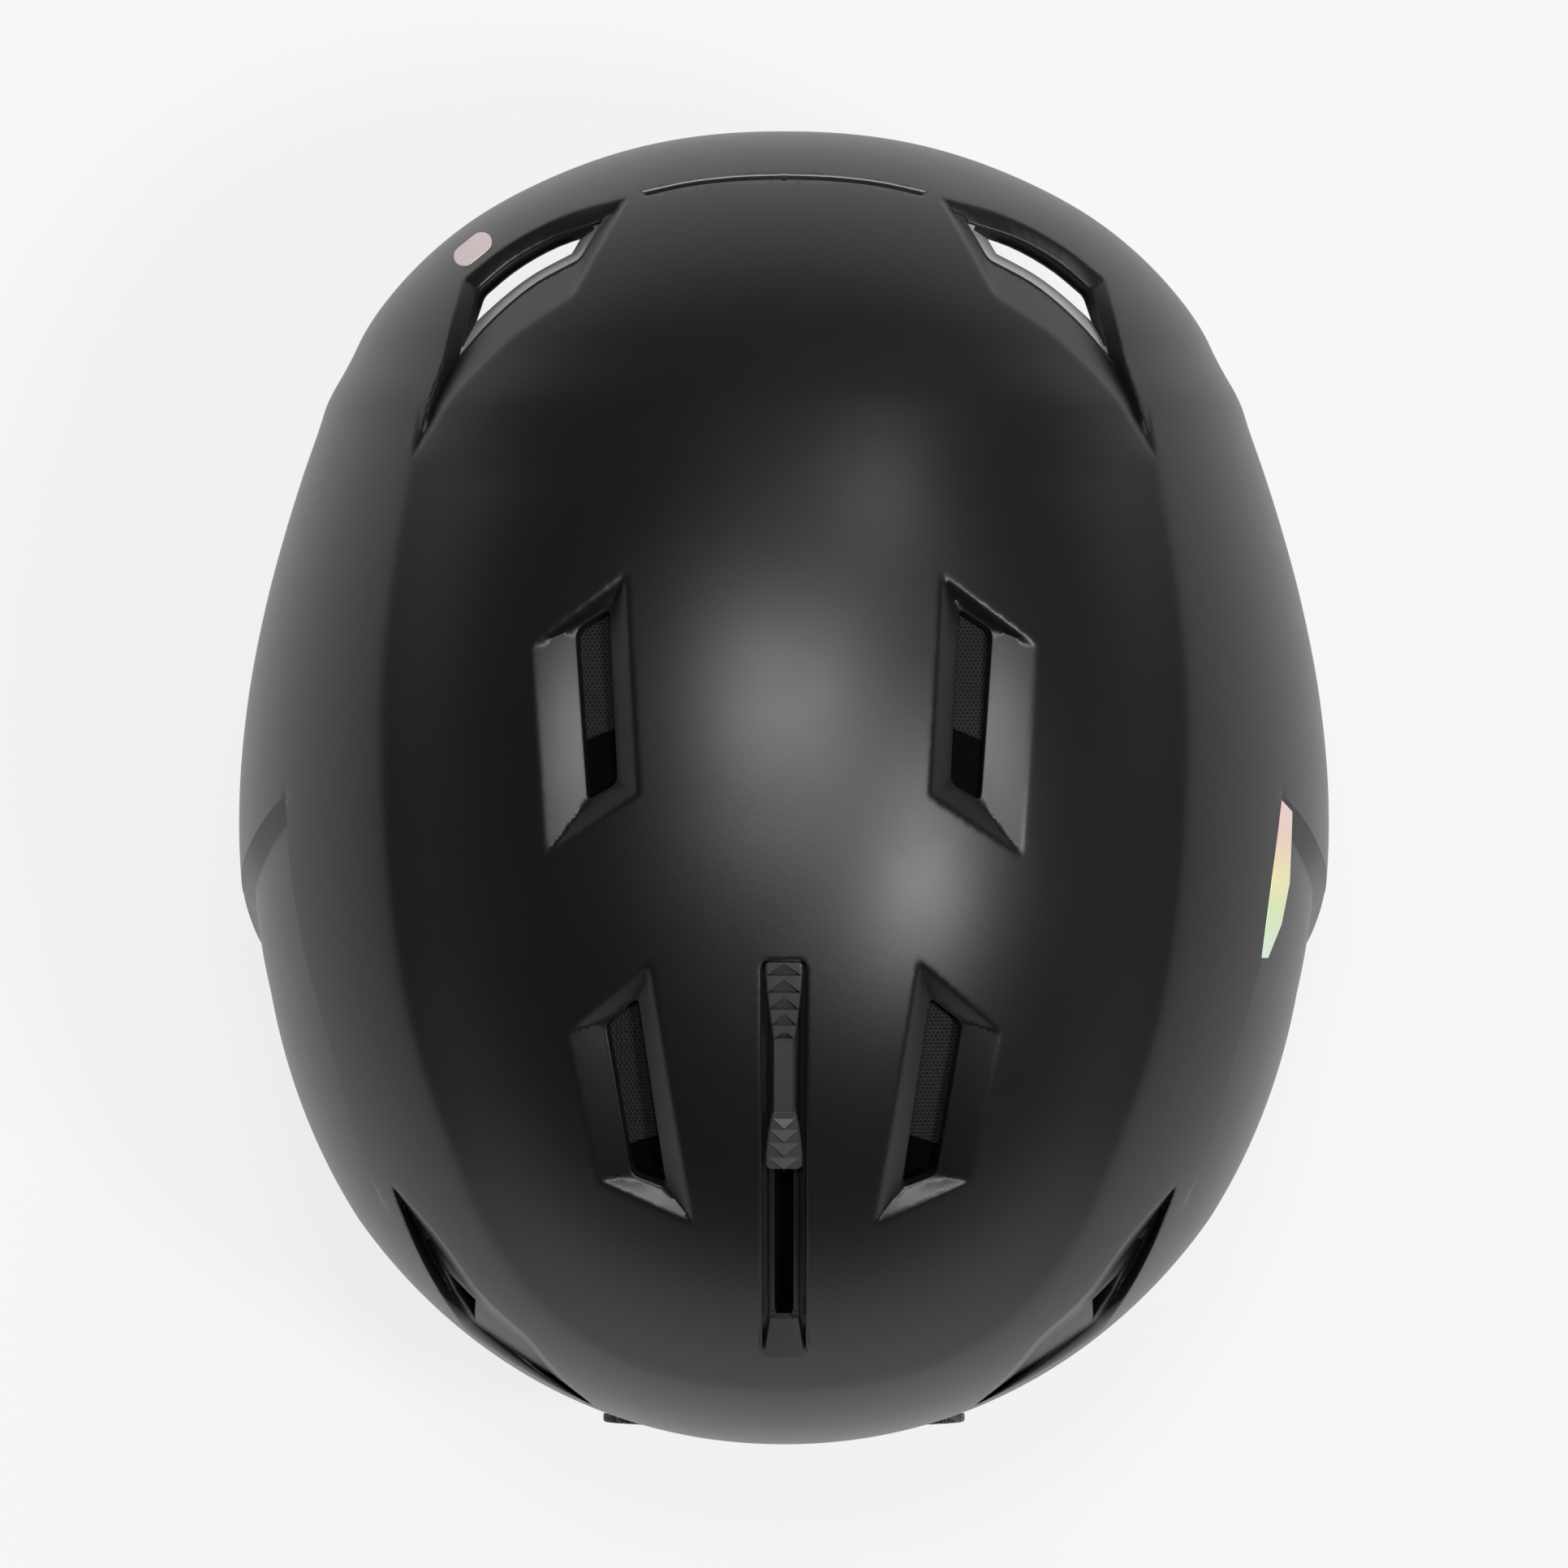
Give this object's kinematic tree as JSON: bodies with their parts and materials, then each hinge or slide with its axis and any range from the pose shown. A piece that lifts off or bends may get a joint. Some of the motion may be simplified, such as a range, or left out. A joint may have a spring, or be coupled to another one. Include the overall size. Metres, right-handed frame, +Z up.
{
  "type": "ski helmet",
  "caption": "Adult ski helmet standing on its ear pads: black hard shell with sliding crown vents, foam liner, nape fit dial, chin strap with slide buckle and goggle strap keeper.",
  "frame": {"origin": "centre of the bounding box at the level of the table that the ear pads stand on", "axes": "+Z up, the front of the helmet faces -Y and its rear +Y, the wearer's right is +X"},
  "size_m": [0.232, 0.28, 0.2201],
  "materials": {
    "shell_black": "satin",
    "foam_black": "moulded foam",
    "trim_rubber": "matte",
    "track_plastic": "gloss",
    "knob_plastic": "satin",
    "shutter_plastic": "matte",
    "vent_mesh": "mesh",
    "screw_steel": "plain",
    "mark_pearl": "pearl",
    "mark_iridescent": "iridescent",
    "liner_fabric": "knit",
    "fit_plastic": "moulded",
    "dial_rubber": "soft touch",
    "ear_fabric": "knit",
    "webbing": "woven webbing",
    "buckle_plastic": "moulded",
    "tab_rubber": "matte",
    "keeper_fabric": "speckled knit",
    "snap_metal": "black"
  },
  "bodies": {
    "helmet": {"outer_shell": "shell_black", "eps_liner": "foam_black", "rim_trim": "trim_rubber", "slider_track": "track_plastic", "front_mark": "mark_pearl", "side_inlay": "mark_iridescent", "brow_pad": "liner_fabric", "crown_pad": "liner_fabric", "side_pad_left": "liner_fabric", "side_pad_right": "liner_fabric", "nape_pad": "liner_fabric", "dial_housing": "fit_plastic", "fit_cradle": "fit_plastic", "ear_pad_left": "ear_fabric", "ear_pad_right": "ear_fabric", "ear_clip_left": "fit_plastic", "ear_clip_right": "fit_plastic", "strap_left": "webbing", "strap_right": "webbing", "strap_divider_left": "fit_plastic", "strap_divider_right": "fit_plastic", "strap_anchors": "fit_plastic", "buckle_base": "buckle_plastic", "buckle_magnets": "screw_steel", "strap_keeper": "tab_rubber", "chin_pad": "ear_fabric", "keeper_pin": "screw_steel", "keeper_base": "fit_plastic", "keeper_screws": "screw_steel", "keeper_stud": "snap_metal"},
    "vents": {"slider_knob": "knob_plastic", "shutter_plate": "shutter_plastic", "shutter_mesh": "vent_mesh", "knob_screws": "screw_steel"},
    "dial": {"dial_knob": "dial_rubber", "dial_pinion": "fit_plastic", "dial_screw": "screw_steel"},
    "fit_band_left": {"band_left": "fit_plastic"},
    "fit_band_right": {"band_right": "fit_plastic"},
    "buckle_half": {"buckle_slider": "buckle_plastic", "buckle_tab": "tab_rubber"},
    "goggle_keeper": {"keeper_flap": "keeper_fabric", "keeper_cap": "snap_metal"}
  },
  "joints": [
    {"name": "vent_slide", "type": "hinge", "parent": "helmet", "child": "vents", "pos_m": [0, 0.004, 0.054], "axis": [-1, 0, 0], "range_deg": [0, 13.8]},
    {"name": "dial_spin", "type": "hinge", "parent": "helmet", "child": "dial", "pos_m": [0, 0.1, 0.054], "axis": [0, -1, 0], "range_deg": [0, 150]},
    {"name": "band_left_turn", "type": "hinge", "parent": "helmet", "child": "fit_band_left", "pos_m": [0, 0.01, 0.054], "axis": [0, 0, 1], "range_deg": [-9.2, 0.1]},
    {"name": "band_right_turn", "type": "hinge", "parent": "helmet", "child": "fit_band_right", "pos_m": [0, 0.01, 0.054], "axis": [0, 0, 1], "range_deg": [-0.1, 9.2]},
    {"name": "buckle_release", "type": "slide", "parent": "helmet", "child": "buckle_half", "axis": [0, -1, 0], "range_m": [0, 0.016]},
    {"name": "keeper_open", "type": "hinge", "parent": "helmet", "child": "goggle_keeper", "pos_m": [0, 0.1344, 0.0405], "axis": [-1, 0, 0], "range_deg": [0, 95]}
  ],
  "couplings": [
    {"joint": "band_left_turn", "follows": "dial_spin", "ratio": -0.059524},
    {"joint": "band_right_turn", "follows": "dial_spin", "ratio": 0.059524}
  ]
}
